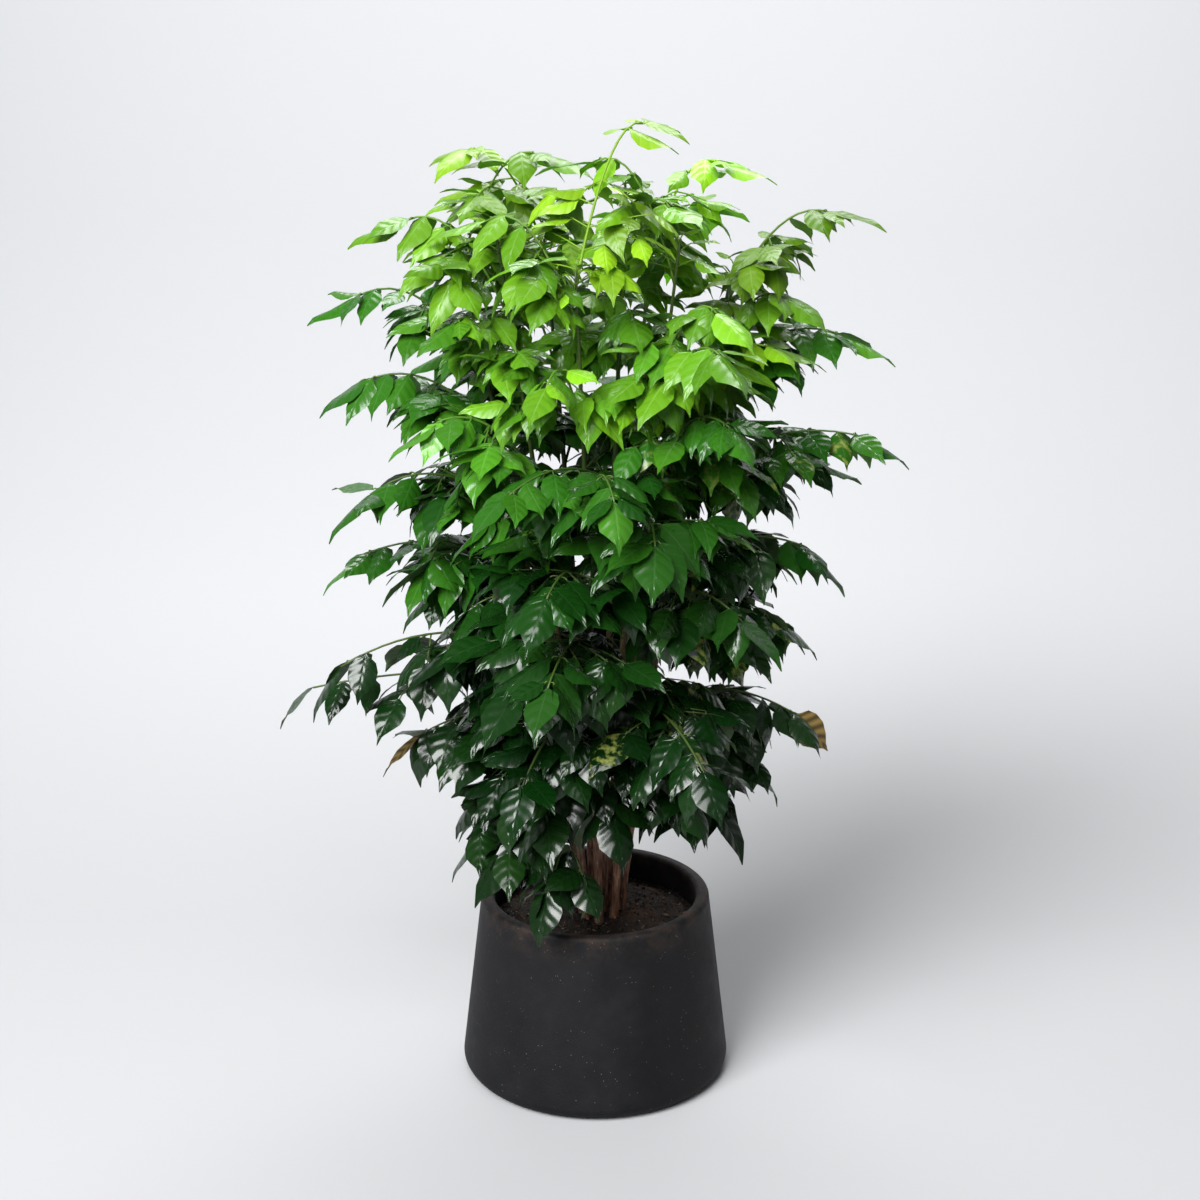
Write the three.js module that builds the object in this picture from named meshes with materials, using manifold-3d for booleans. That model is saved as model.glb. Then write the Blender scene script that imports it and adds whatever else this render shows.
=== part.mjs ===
// A potted china doll plant: eight woody stems in a tapered fibre-clay pot, with a crown of
// twice-divided leaves. Each leaf, or frond, is a stalk that carries side stalks and ovate leaflets
// with drawn-out drip tips. Millimetres, +Z up, origin on the pot's axis at the floor.
import * as THREE from "three";
import { mergeVertices } from "three/addons/utils/BufferGeometryUtils.js";
import Module from "manifold-3d";

const wasm = await Module();
wasm.setup();

// ---- Driving dimensions -------------------------------------------------------------------------
const POT = { foot: 160, rim: 136, height: 222, wall: 16, floor: 18, edge: 17, lip: 6, sides: 44 };
const DRAIN = { count: 3, radius: 7, ring: 74, sides: 10 };
const SOIL = { top: 186, crown: 9, sides: 26, hole: 0.5 };
const STEM = { foot: 5.3, tip: 2.2, depth: 60, sides: 8, rings: 6 };
const SHOOT = { sides: 6, rings: 3 };
const CROWN = { low: 262, high: 1104, radius: 290, fullness: 3.6, inner: 0.4, outer: 1.02 };
const FROND = { count: 83, thick: 3, width: 3.2, end: 2.2, clear: 12, apart: 40, steps: 24, out: 75 };
const ARCH = { low: 24, high: 84, share: 0.5 }; // how far a stalk rises over its two ends, and where
const LEAFLET = { length: 64, width: 35, thick: 0.8, foot: 2.2, spare: 0.5 };
const DROOP = { low: 54, high: 9, spread: 22, others: [0, 16, -16, -28] }; // degrees below level
const JOINT = 5; // how far a frond keeps from where bark meets green shoot
const TOUCH = 0.45; // gap left between pieces that touch
const ROOT_SHARE = 0.5; // cubic millimetres that a branch may share with the stalk that it grows from
const FACET = 0.95; // how near a faceted stem's axis its flats come, as a share of its radius

// The pairs of side branches on a frond's stalk: where they leave it, their angle to it, the length
// of their own stalk, and the size of the leaflet that each carries.
const PAIRS = [
  { at: 0.54, angle: 60, rib: 40, size: 1 },
  { at: 0.86, angle: 64, rib: 0, size: 0.9 },
];
const PAIR_FOOT = 5; // length of the stalk's edge that a side branch leaves from

// Each stem: the way it leans, how far its top stands from the axis, its height, and the height
// where the brown bark gives way to a green shoot.
const STEMS = [
  { turn: 12, reach: 158, top: 962, green: 572 },
  { turn: 60, reach: 132, top: 1012, green: 604 },
  { turn: 116, reach: 138, top: 1000, green: 590 },
  { turn: 168, reach: 156, top: 972, green: 560 },
  { turn: 214, reach: 128, top: 1020, green: 606 },
  { turn: 262, reach: 140, top: 978, green: 566 },
  { turn: 312, reach: 134, top: 1006, green: 584 },
  { turn: 330, reach: 38, top: 1054, green: 640 },
];
const CLUMP = { radius: 16, x: 8, y: -4, tight: 60 }; // a stem that reaches less stands in its middle

// The leaf tips that stand out of the crown and give it its outline, as x, y, z.
const LEADERS = [
  [96, -20, 1112], [-178, -30, 1076], [194, 20, 1056], [-262, -20, 1002], [318, -10, 1006],
  [254, -60, 914], [-324, -10, 908], [334, 0, 862], [-312, 20, 808], [352, -30, 748],
  [-304, -40, 680], [310, 60, 700], [-316, 0, 598], [290, -20, 612], [-372, -10, 434],
  [-332, -70, 478], [244, -40, 530], [278, 0, 396], [-246, 10, 368], [226, -20, 342],
  [-172, -70, 268], [176, -50, 292], [-66, -186, 238], [-132, -128, 262], [30, -308, 730],
  [-60, -296, 520], [110, 298, 780], [-90, 300, 610], [40, 290, 440], [-150, 262, 900],
  [130, -280, 420], [150, -262, 880], [-62, -70, 1070], [-2, -40, 1072],
];

// ---- Small helpers ------------------------------------------------------------------------------
const vec = (x, y, z) => new THREE.Vector3(x, y, z);
const UP = vec(0, 0, 1);
const mix = (a, b, t) => a + (b - a) * t;
const radians = (degrees) => (degrees * Math.PI) / 180;
const heading = (degrees) => vec(Math.cos(radians(degrees)), Math.sin(radians(degrees)), 0);

// A repeatable row of draws between 0 and 1.
function draws(seed) {
  let state = (seed * 69621 + 12345) % 2147483647;
  const next = () => {
    state = (state * 48271) % 2147483647;
    return state / 2147483647;
  };
  next();
  next();
  return next;
}

function toSolid(geometry) {
  const bare = geometry.index ? geometry.toNonIndexed() : geometry.clone();
  bare.deleteAttribute("normal");
  bare.deleteAttribute("uv");
  const merged = mergeVertices(bare, 1e-3);
  const mesh = new wasm.Mesh({
    numProp: 3,
    vertProperties: merged.attributes.position.array,
    triVerts: new Uint32Array(merged.index.array),
  });
  return new wasm.Manifold(mesh);
}

function toGeometry(solid) {
  const made = solid.getMesh();
  const places = new Float32Array(made.numVert * 3);
  for (let i = 0; i < made.numVert; i++) {
    places.set(made.vertProperties.subarray(i * made.numProp, i * made.numProp + 3), i * 3);
  }
  const geometry = new THREE.BufferGeometry();
  geometry.setAttribute("position", new THREE.BufferAttribute(places, 3));
  geometry.setIndex(new THREE.BufferAttribute(made.triVerts, 1));
  return geometry;
}

// ---- Pot and soil -------------------------------------------------------------------------------
const potWall = (z) => mix(POT.foot, POT.rim, (z - POT.edge) / (POT.height - POT.lip - POT.edge));

function arc(cx, cy, r, from, to, steps) {
  const points = [];
  for (let i = 0; i <= steps; i++) {
    const a = radians(mix(from, to, i / steps));
    points.push(new THREE.Vector2(cx + r * Math.cos(a), cy + r * Math.sin(a)));
  }
  return points;
}

function lathed(profile, sides) {
  return toSolid(new THREE.LatheGeometry(profile, sides).rotateX(Math.PI / 2));
}

// A thick fibre-clay wall with a rounded foot and lip, and drain holes through its floor.
function makePot() {
  const { foot, rim, height, wall, floor, edge, lip } = POT;
  const profile = [
    new THREE.Vector2(0, 0),
    ...arc(foot - edge, edge, edge, -90, 0, 4),
    ...arc(rim - lip, height - lip, lip, 0, 90, 2),
    ...arc(rim - wall + lip, height - lip, lip, 90, 180, 2),
    new THREE.Vector2(potWall(floor) - wall, floor),
    new THREE.Vector2(0, floor),
  ];
  let pot = lathed(profile, POT.sides);
  for (let i = 0; i < DRAIN.count; i++) {
    const middle = heading((i * 360) / DRAIN.count + 90).multiplyScalar(DRAIN.ring);
    const drill = new THREE.CylinderGeometry(DRAIN.radius, DRAIN.radius, floor * 3, DRAIN.sides);
    drill.rotateX(Math.PI / 2).translate(middle.x, middle.y, 0);
    pot = pot.subtract(toSolid(drill));
  }
  return pot;
}

// The potting mix, mounded a little round the stems, with a plain hole for each stem.
function makeSoil() {
  const bottom = POT.floor + TOUCH;
  const radius = (z) => potWall(z) - POT.wall - 1.2;
  const profile = [
    new THREE.Vector2(0, bottom),
    new THREE.Vector2(radius(bottom), bottom),
    new THREE.Vector2(radius(SOIL.top), SOIL.top),
    new THREE.Vector2(radius(SOIL.top) * 0.5, SOIL.top + SOIL.crown * 0.7),
    new THREE.Vector2(0, SOIL.top + SOIL.crown),
  ];
  let soil = lathed(profile, SOIL.sides);
  for (const stem of STEMS) {
    const hole = (z) => stemRadius(stem, z) + SOIL.hole;
    const bore = bar(stem, STEM_FOOT - TOUCH, SOIL.top + 3 * SOIL.crown, hole, STEM.sides, 1);
    soil = soil.subtract(bore);
  }
  return soil;
}

// ---- Stems --------------------------------------------------------------------------------------
const STEM_FOOT = SOIL.top - STEM.depth;
const stemShare = (stem, z) => (z - STEM_FOOT) / (stem.top - STEM_FOOT);
const stemRadius = (stem, z) => mix(STEM.foot, STEM.tip, stemShare(stem, z));

// Where a stem's middle is at a height: out of the clump, and leaning more the higher it gets.
function stemAt(stem, z) {
  const t = stemShare(stem, z);
  const share = 0.6 * t + 0.4 * t * t;
  const foot = heading(stem.turn).multiplyScalar(stem.reach > CLUMP.tight ? CLUMP.radius : 0);
  const top = heading(stem.turn).multiplyScalar(stem.reach);
  return vec(mix(CLUMP.x + foot.x, top.x, share), mix(CLUMP.y + foot.y, top.y, share), z);
}

// A round bar that follows a stem between two heights.
function bar(stem, from, to, radius, sides, rings) {
  const geometry = new THREE.CylinderGeometry(1, 1, 1, sides, rings);
  const places = geometry.attributes.position;
  for (let i = 0; i < places.count; i++) {
    const z = mix(from, to, places.getY(i) + 0.5);
    const middle = stemAt(stem, z);
    const r = radius(z);
    places.setXYZ(i, middle.x + places.getX(i) * r, middle.y - places.getZ(i) * r, z);
  }
  return toSolid(geometry);
}

// ---- Where the fronds grow ----------------------------------------------------------------------
const crownHeight = (z) => (z - CROWN.low) / (CROWN.high - CROWN.low);

function crownRadius(z) {
  const bulge = 1 - Math.abs(2 * crownHeight(z) - 1) ** CROWN.fullness;
  return CROWN.radius * Math.sqrt(Math.max(0.04, bulge));
}

// Steps that spread any number of points evenly over a height and a full turn.
const EVEN = { height: 0.754878, turn: 0.56984 };

// Every point where a frond may end: the leaders, then tips spread evenly over the crown.
function* tips() {
  for (const [x, y, z] of LEADERS) yield vec(x, y, z);
  const draw = draws(5);
  for (let i = 0; ; i++) {
    const z = mix(CROWN.low + 26, CROWN.high - 8, (i * EVEN.height) % 1);
    const radius = crownRadius(z) * mix(CROWN.inner, CROWN.outer, draw() ** 0.5);
    const out = heading(i * EVEN.turn * 360 + 20 * draw()).multiplyScalar(radius);
    yield vec(out.x, out.y, z);
  }
}

// The frond that leaves a stem for a tip: its stalk is an arch that ends a leaflet short of the tip.
function reachFor(stem, tip, rise) {
  const h = crownHeight(tip.z);
  const droop = radians(mix(DROOP.low, DROOP.high, h));
  const wanted = Math.min(tip.z + mix(95, -120, h), stem.top - 14);
  const z = Math.abs(wanted - stem.green) < JOINT ? stem.green + JOINT : wanted;
  const from = stemAt(stem, z);
  const out = vec(tip.x - from.x, tip.y - from.y, 0).normalize();
  const buried = z > stem.green;
  const gap = buried ? 0 : stemRadius(stem, z) * FACET + TOUCH;
  const start = from.clone().addScaledVector(out, gap);
  const end = tip.clone().addScaledVector(out, -LEAFLET.length * Math.cos(droop));
  end.z += LEAFLET.length * Math.sin(droop);
  const bend = vec(
    mix(start.x, end.x, ARCH.share),
    mix(start.y, end.y, ARCH.share),
    Math.max(start.z, end.z) + rise,
  );
  const curve = new THREE.QuadraticBezierCurve3(start, bend, end);
  const outward = Math.hypot(end.x - start.x, end.y - start.y);
  return { stem, tip, h, buried, curve, outward, points: curve.getPoints(FROND.steps) };
}

const near = (some, others, distance) =>
  some.some((p) => others.some((q) => p.distanceToSquared(q) < distance * distance));

// Fronds whose stalks stay clear of every stem and of the stalks before them.
function growFronds() {
  const stemPoints = STEMS.map((stem) =>
    Array.from({ length: 70 }, (_, i) => stemAt(stem, mix(STEM_FOOT, stem.top, i / 69))),
  );
  const fronds = [];
  for (const tip of tips()) {
    if (fronds.length === FROND.count) break;
    const number = fronds.length + 1;
    const leader = number <= LEADERS.length;
    if (!leader && fronds.some((f) => f.tip.distanceTo(tip) < FROND.apart)) continue;
    const draw = draws(number + 40);
    const flatter = 1 - 0.6 * crownHeight(tip.z);
    const rises = [draw(), draw(), draw()].map((d) => mix(ARCH.low, ARCH.high, d) * flatter);
    const reach = (stem) => reachFor(stem, tip, rises[0]).curve.getLength();
    const nearest = [...STEMS].sort((a, b) => reach(a) - reach(b)).slice(0, leader ? 8 : 3);
    const isClear = (frond) =>
      frond.outward > FROND.out &&
      !stemPoints.some((p, i) => STEMS[i] !== frond.stem && near(p, frond.points, FROND.clear)) &&
      !fronds.some((f) => near(f.points, frond.points, FROND.clear));
    const choices = nearest.flatMap((stem) => rises.map((rise) => reachFor(stem, tip, rise)));
    const frond = choices.find(isClear);
    if (frond) fronds.push({ ...frond, number, draw });
  }
  return fronds;
}

// ---- Fronds as thin closed sheets ---------------------------------------------------------------
// A sheet is a net of triangles with a thickness at each point: its top, the same net below it, and
// a wall along every open edge make one closed solid.
class Sheet {
  points = [];
  triangles = [];

  // Adds a point with the way its top faces and half its thickness there.
  add(place, normal, half) {
    return this.points.push({ place, normal, half }) - 1;
  }

  face(...corners) {
    for (let i = 2; i < corners.length; i++) {
      this.triangles.push([corners[0], corners[i - 1], corners[i]]);
    }
  }

  // The solid, with spare added to half its thickness.
  solid(spare = 0) {
    const count = this.points.length;
    const place = (side) => (p) => p.place.clone().addScaledVector(p.normal, side * (p.half + spare));
    const places = [...this.points.map(place(1)), ...this.points.map(place(-1))];
    const faces = this.triangles.flatMap(([a, b, c]) => [a, b, c, a + count, c + count, b + count]);
    const edges = new Set(this.triangles.flatMap(([a, b, c]) => [`${a},${b}`, `${b},${c}`, `${c},${a}`]));
    for (const edge of edges) {
      const [a, b] = edge.split(",").map(Number);
      if (edges.has(`${b},${a}`)) continue;
      faces.push(b, a, a + count, b, a + count, b + count);
    }
    const mesh = new wasm.Mesh({
      numProp: 3,
      vertProperties: new Float32Array(places.flatMap((p) => p.toArray())),
      triVerts: new Uint32Array(faces),
    });
    return new wasm.Manifold(mesh);
  }
}

// The directions at a point of a stalk: along it, out to its right, and up out of its top.
function frameAt(along, roll = 0) {
  const right = along.clone().cross(UP).normalize().applyAxisAngle(along, roll);
  return { along, right, up: right.clone().cross(along) };
}

// The way that a branch at an angle to the right leaves a stalk.
function turned(frame, angle) {
  const a = radians(angle);
  return frame.along.clone().multiplyScalar(Math.cos(a)).addScaledVector(frame.right, Math.sin(a));
}

// The directions of a branch that heads one way, but is dipped below level by its own weight.
function hang(way, dip, tilt) {
  const d = radians(dip);
  const along = vec(way.x, way.y, 0).normalize().multiplyScalar(Math.cos(d));
  return frameAt(along.addScaledVector(UP, -Math.sin(d)), radians(tilt));
}

// An ovate leaflet that grows from the edge between two points of a sheet and ends in a drip tip.
function addLeaflet(sheet, left, right, foot, frame, size, curl) {
  const length = LEAFLET.length * size;
  const width = LEAFLET.width * size;
  const half = LEAFLET.thick / 2;
  const at = (t, side) => {
    const place = foot.clone().addScaledVector(frame.along, length * t);
    place.addScaledVector(frame.right, side * width * 0.5).addScaledVector(frame.up, -curl * length * t * t);
    return sheet.add(place, frame.up, half);
  };
  const [wideLeft, wideRight] = [at(0.36, -1), at(0.36, 1)];
  const [neckLeft, neckRight] = [at(0.7, -0.5), at(0.7, 0.5)];
  const tip = at(1, 0);
  sheet.face(left, right, wideRight);
  sheet.face(left, wideRight, wideLeft);
  sheet.face(wideLeft, wideRight, neckRight);
  sheet.face(wideLeft, neckRight, neckLeft);
  sheet.face(neckLeft, neckRight, tip);
}

// A side branch from the edge between two points of a sheet: a thin stalk and the leaflet it carries.
function addBranch(sheet, left, right, branch) {
  const { foot, frame, rib, size, curl } = branch;
  const end = foot.clone().addScaledVector(frame.along, rib);
  const half = LEAFLET.foot / 2;
  const corner = (side) =>
    sheet.add(end.clone().addScaledVector(frame.right, side * half), frame.up, half * 0.8);
  const [endLeft, endRight] = [corner(-1), corner(1)];
  sheet.face(left, right, endRight, endLeft);
  addLeaflet(sheet, endLeft, endRight, end, frame, size, curl);
}

// The stalk's cross-sections, and the branches that the frond would carry if nothing stood near.
function planFrond(frond) {
  const { curve, h, draw } = frond;
  const long = curve.getLength();
  const size = mix(0.86, 1.08, draw());
  const roll = radians(mix(-15, 15, draw()));
  const mean = mix(DROOP.low, DROOP.high, h);
  const share = (s) => Math.min(1, s / long);
  const sections = [{ s: 0, foot: true }, { s: 0.3 }];
  const branches = [];
  PAIRS.forEach((pair, i) => {
    const [from, to] = [pair.at, pair.at + share(PAIR_FOOT)];
    sections.push({ s: from }, { s: to });
    const frame = frameAt(curve.getTangentAt((from + to) / 2), roll);
    const middle = curve.getPointAt((from + to) / 2);
    for (const side of [-1, 1]) {
      const reach = (side * mix(FROND.width, FROND.end, from)) / 2;
      branches.push({
        order: PAIRS.length - i,
        section: sections.length - 2,
        side,
        foot: middle.clone().addScaledVector(frame.right, reach),
        way: turned(frame, side * (pair.angle + mix(-6, 6, draw()))),
        dip: mean * 0.8 + mix(-0.3, 1, draw()) * DROOP.spread,
        tilt: mix(-14, 14, draw()),
        rib: pair.rib * mix(0.85, 1.1, draw()),
        size: size * pair.size,
        curl: mix(0.08, 0.24, draw()),
      });
    }
  });
  sections.push({ s: 1 });
  for (const section of sections) {
    const frame = frameAt(curve.getTangentAt(section.s), roll);
    section.width = mix(FROND.width, FROND.end, section.s) / 2;
    section.half = mix(FROND.thick, FROND.end, section.s) / 2;
    section.place = curve.getPointAt(section.s);
    section.right = section.foot ? frameAt(frame.along).right : frame.right;
    section.up = section.foot ? UP : frame.up;
    section.frame = frame;
  }
  const last = sections[sections.length - 1];
  branches.push({
    order: 0,
    section: sections.length - 1,
    side: 0,
    foot: last.place,
    way: turned(last.frame, mix(-6, 6, draw())),
    dip: mean + mix(-0.5, 0.2, draw()) * DROOP.spread,
    tilt: mix(-14, 14, draw()),
    rib: 0,
    size: size * 1.06,
    curl: mix(0.08, 0.24, draw()),
  });
  return { ...frond, sections, branches };
}

const corner = (section, side) =>
  section.place.clone().addScaledVector(section.right, side * section.width);

// The two corners of the stalk that a branch grows between, as it is seen from its foot.
function rootsOf(plan, branch) {
  const [near, far] = [plan.sections[branch.section], plan.sections[branch.section + 1]];
  if (branch.side === 0) return [[near, -1], [near, 1]];
  return branch.side > 0 ? [[far, 1], [near, 1]] : [[near, -1], [far, -1]];
}

// A branch that hangs some more degrees lower, ready to be added to a sheet.
const bent = (branch, more) => ({ ...branch, frame: hang(branch.way, branch.dip + more, branch.tilt) });

function grow(sheet, left, right, branch) {
  if (branch.rib === 0) {
    addLeaflet(sheet, left, right, branch.foot, branch.frame, branch.size, branch.curl);
  } else {
    addBranch(sheet, left, right, branch);
  }
}

// The stalk and its branches as one sheet.
function frondSheet(plan, branches) {
  const sheet = new Sheet();
  const index = new Map();
  for (const section of plan.sections) {
    for (const side of [-1, 1]) {
      index.set(`${plan.sections.indexOf(section)},${side}`,
        sheet.add(corner(section, side), section.up, section.half));
    }
  }
  const at = ([section, side]) => index.get(`${plan.sections.indexOf(section)},${side}`);
  for (let i = 1; i < plan.sections.length; i++) {
    const [back, front] = [plan.sections[i - 1], plan.sections[i]];
    sheet.face(at([back, -1]), at([back, 1]), at([front, 1]), at([front, -1]));
  }
  for (const branch of branches) {
    const [left, right] = rootsOf(plan, branch).map(at);
    grow(sheet, left, right, branch);
  }
  return sheet;
}

// A branch by itself, a little thicker than it will be, to see what it would touch.
function branchProbe(plan, branch) {
  const sheet = new Sheet();
  const [left, right] = rootsOf(plan, branch).map(([section, side]) =>
    sheet.add(corner(section, side), section.up, section.half),
  );
  grow(sheet, left, right, branch);
  return sheet.solid(LEAFLET.spare);
}

// ---- Growing the crown --------------------------------------------------------------------------
// What already stands in the crown: solids with their boxes, and the frond that each belongs to.
class Standing {
  list = [];

  add(solid, owner) {
    this.list.push({ solid, owner, box: solid.boundingBox() });
  }

  // Whether a solid would run into anything. It may touch the stalk of its own frond at its root.
  blocks(solid, owner) {
    const box = solid.boundingBox();
    const apart = (b) => [0, 1, 2].some((i) => b.min[i] > box.max[i] || b.max[i] < box.min[i]);
    return this.list.some((other) => {
      if (apart(other.box)) return false;
      const shared = solid.intersect(other.solid).volume();
      return other.owner === owner ? Math.abs(shared) > ROOT_SHARE : shared > 0;
    });
  }
}

// Each branch keeps the first bend that runs into nothing, and is left out if there is none.
function fillFronds(plans, standing) {
  for (const plan of plans) {
    plan.kept = [];
    standing.add(frondSheet(plan, []).solid(LEAFLET.spare), plan.number);
  }
  for (let order = 0; order <= PAIRS.length; order++) {
    for (const plan of plans) {
      for (const branch of plan.branches.filter((b) => b.order === order)) {
        for (const more of DROOP.others) {
          const trial = bent(branch, more);
          const probe = branchProbe(plan, trial);
          if (standing.blocks(probe, plan.number)) continue;
          plan.kept.push(trial);
          standing.add(probe, `${plan.number} leaf`);
          break;
        }
      }
    }
  }
}

const pot = makePot();
const soil = makeSoil();
const standing = new Standing();
standing.add(pot, "pot");
standing.add(soil, "soil");

const wood = [];
const green = [];
for (const stem of STEMS) {
  const radius = (z) => stemRadius(stem, z);
  wood.push(bar(stem, STEM_FOOT, stem.green - TOUCH, radius, STEM.sides, STEM.rings));
  green.push(bar(stem, stem.green, stem.top, radius, SHOOT.sides, SHOOT.rings));
}
for (const solid of [...wood, ...green]) standing.add(solid, "stem");

const plans = growFronds().map(planFrond);
fillFronds(plans, standing);

// ---- The plant ----------------------------------------------------------------------------------
const FINISH = {
  clay: { color: "#2c2c2e", roughness: 0.82 },
  earth: { color: "#1d1713", roughness: 0.95 },
  bark: { color: "#7b5a45", roughness: 0.8 },
  dark: { color: "#1f5c23", roughness: 0.35 },
  middle: { color: "#338325", roughness: 0.35 },
  young: { color: "#72b92c", roughness: 0.38 },
};

const plant = new THREE.Group();

function place(name, solid, finish) {
  const material = new THREE.MeshStandardMaterial({ ...FINISH[finish], metalness: 0 });
  const mesh = new THREE.Mesh(toGeometry(solid), material);
  mesh.name = name;
  plant.add(mesh);
}

place("pot", pot, "clay");
place("soil", soil, "earth");
STEMS.forEach((stem, i) => place(`stem_${i + 1}`, wood[i], "bark"));

// The fronds on a green shoot are one piece with it; those lower down are pieces of their own.
STEMS.forEach((stem, i) => {
  let shoot = green[i];
  for (const plan of plans.filter((p) => p.buried && p.stem === stem)) {
    shoot = shoot.add(frondSheet(plan, plan.kept).solid());
  }
  place(`shoot_${i + 1}`, shoot, "young");
});

const separate = plans.filter((p) => !p.buried);
separate.forEach((plan, i) => {
  const finish = plan.h > 0.5 ? "middle" : "dark";
  place(`frond_${String(i + 1).padStart(2, "0")}`, frondSheet(plan, plan.kept).solid(), finish);
});

export default plant;
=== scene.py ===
# %% [markdown]
# # A potted china doll plant
#
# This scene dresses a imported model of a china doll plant: a clump of woody stems in a black
# fibre-clay pot, under a crown of twice-divided leaves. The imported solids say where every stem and
# every leaf stands, so each cell below makes the fine surface of one of them in the same place.

import bisect
import itertools
from math import asin, cos, degrees, dist, exp, floor, hypot, pi, radians, sin, sqrt

import bmesh
import bpy
import numpy as np
from mathutils import Matrix, Vector, noise
from mathutils.kdtree import KDTree


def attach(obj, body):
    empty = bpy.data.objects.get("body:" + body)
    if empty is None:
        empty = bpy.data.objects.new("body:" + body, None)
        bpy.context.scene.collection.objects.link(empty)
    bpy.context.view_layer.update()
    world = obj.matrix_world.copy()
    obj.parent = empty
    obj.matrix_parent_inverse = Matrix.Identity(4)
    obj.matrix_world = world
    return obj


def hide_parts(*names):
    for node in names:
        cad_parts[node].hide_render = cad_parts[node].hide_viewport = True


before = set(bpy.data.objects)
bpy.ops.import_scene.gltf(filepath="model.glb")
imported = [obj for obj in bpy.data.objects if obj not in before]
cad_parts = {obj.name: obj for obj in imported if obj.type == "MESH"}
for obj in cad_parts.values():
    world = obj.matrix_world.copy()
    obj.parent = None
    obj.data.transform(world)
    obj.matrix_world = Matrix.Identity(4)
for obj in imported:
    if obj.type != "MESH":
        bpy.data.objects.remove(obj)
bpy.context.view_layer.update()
print("packed nodes:", len(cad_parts))

# %% [markdown]
# ## Camera, floor and light
#
# The plant is seen from a little above its middle, with the lens tipped down, so that the soil shows
# inside the rim. A sheet of pale paper runs under the pot and up behind it in one curve, as in a
# product studio, which leaves no line between floor and wall.

# %% Camera
MM = 0.001
FRAME_PX = 1200
FOCAL_PX = 2100  # focal length, in pixels of the square picture
SENSOR_MM = 36
EYE = (0.0057, -2.308, 1.271)
DIP = radians(16.6)  # how far the lens is tipped below the horizon

lens = bpy.data.cameras.new("camera")
lens.sensor_width = SENSOR_MM
lens.lens = FOCAL_PX * SENSOR_MM / FRAME_PX
camera = bpy.data.objects.new("camera", lens)
camera.location = EYE
camera.rotation_euler = (pi / 2 - DIP, 0, 0)
scene = bpy.context.scene
scene.collection.objects.link(camera)
scene.camera = camera
scene.view_settings.view_transform = "Standard"
print(f"lens {lens.lens:.0f} mm, {dist(EYE, (0, 0, 0.6)):.2f} m from the plant")


# %% Colours and shader nodes
def linear(hex_colour):
    """An sRGB hex colour as the linear red, green, blue and alpha that Blender's nodes take."""
    channels = [int(hex_colour[i : i + 2], 16) / 255 for i in (1, 3, 5)]
    return (*[c / 12.92 if c <= 0.04045 else ((c + 0.055) / 1.055) ** 2.4 for c in channels], 1)


def add(material, kind, inputs=(), stops=(), **settings):
    """Adds one shader node with its settings, inputs and ramp stops, and returns its outputs. Inputs go
    by name, by number or in order, and each is a value or another node's output."""
    node = material.node_tree.nodes.new("ShaderNode" + kind)
    for name, value in settings.items():
        setattr(node, name, value)
    for name, value in inputs.items() if isinstance(inputs, dict) else enumerate(inputs):
        if isinstance(value, bpy.types.NodeSocket):
            material.node_tree.links.new(value, node.inputs[name])
        else:
            node.inputs[name].default_value = value
    if stops:
        ramp = node.color_ramp.elements
        while len(ramp) < len(stops):
            ramp.new(1)
        for element, (position, colour) in zip(ramp, stops):
            element.position = position
            element.color = linear(colour)
    return node.outputs


def finish(name):
    """A new material with no nodes yet."""
    material = bpy.data.materials.new(name)
    material.use_nodes = True
    material.node_tree.nodes.clear()
    return material


# %% Meshes into objects
def into_object(bm, name, material):
    """A bmesh as a linked object at the origin, with smooth faces and one material."""
    for face in bm.faces:
        face.smooth = True
    mesh = bpy.data.meshes.new(name)
    bm.to_mesh(mesh)
    bm.free()
    mesh.materials.append(material)
    piece = bpy.data.objects.new(name, mesh)
    scene.collection.objects.link(piece)
    return piece


def stands_for(piece, node):
    """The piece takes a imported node's place and rides with it."""
    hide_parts(node)
    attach(piece, "root")


# %% Floor and backdrop
SWEEP = {"near": -6, "bend": 2.2, "radius": 2.5, "top": 6, "half_width": 8}  # metres

paper = finish("matt white studio paper")
pale = add(paper, "BsdfDiffuse", {"Color": linear("#a5a6a8"), "Roughness": 0.5})[0]
add(paper, "OutputMaterial", {"Surface": pale})

sweep = bmesh.new()
left = -SWEEP["half_width"]
edge_start = sweep.verts.new((left, SWEEP["near"], 0))
edge_end = sweep.verts.new((left, SWEEP["bend"], 0))
sweep.edges.new((edge_start, edge_end))
bend_centre = (left, SWEEP["bend"], SWEEP["radius"])
bent = bmesh.ops.spin(
    sweep, geom=[edge_end], cent=bend_centre, axis=(1, 0, 0), angle=pi / 2, steps=16
)
top = next(v for v in bent["geom_last"] if isinstance(v, bmesh.types.BMVert))
wall_top = sweep.verts.new((left, top.co.y, SWEEP["top"]))
sweep.edges.new((top, wall_top))
sides = bmesh.ops.extrude_edge_only(sweep, edges=sweep.edges[:])["geom"]
moved = [v for v in sides if isinstance(v, bmesh.types.BMVert)]
bmesh.ops.translate(sweep, verts=moved, vec=(-2 * left, 0, 0))
backdrop = into_object(sweep, "backdrop", paper)

# %% [markdown]
# The main light is a large soft box in front on the left: waxy leaves mirror it, and a small lamp
# would break up into hard sparks on them. One behind the plant shines through the young leaves and
# puts a sheen on level blades. Two weak ones lift the shadows, and a long strip lights the paper.

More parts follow.
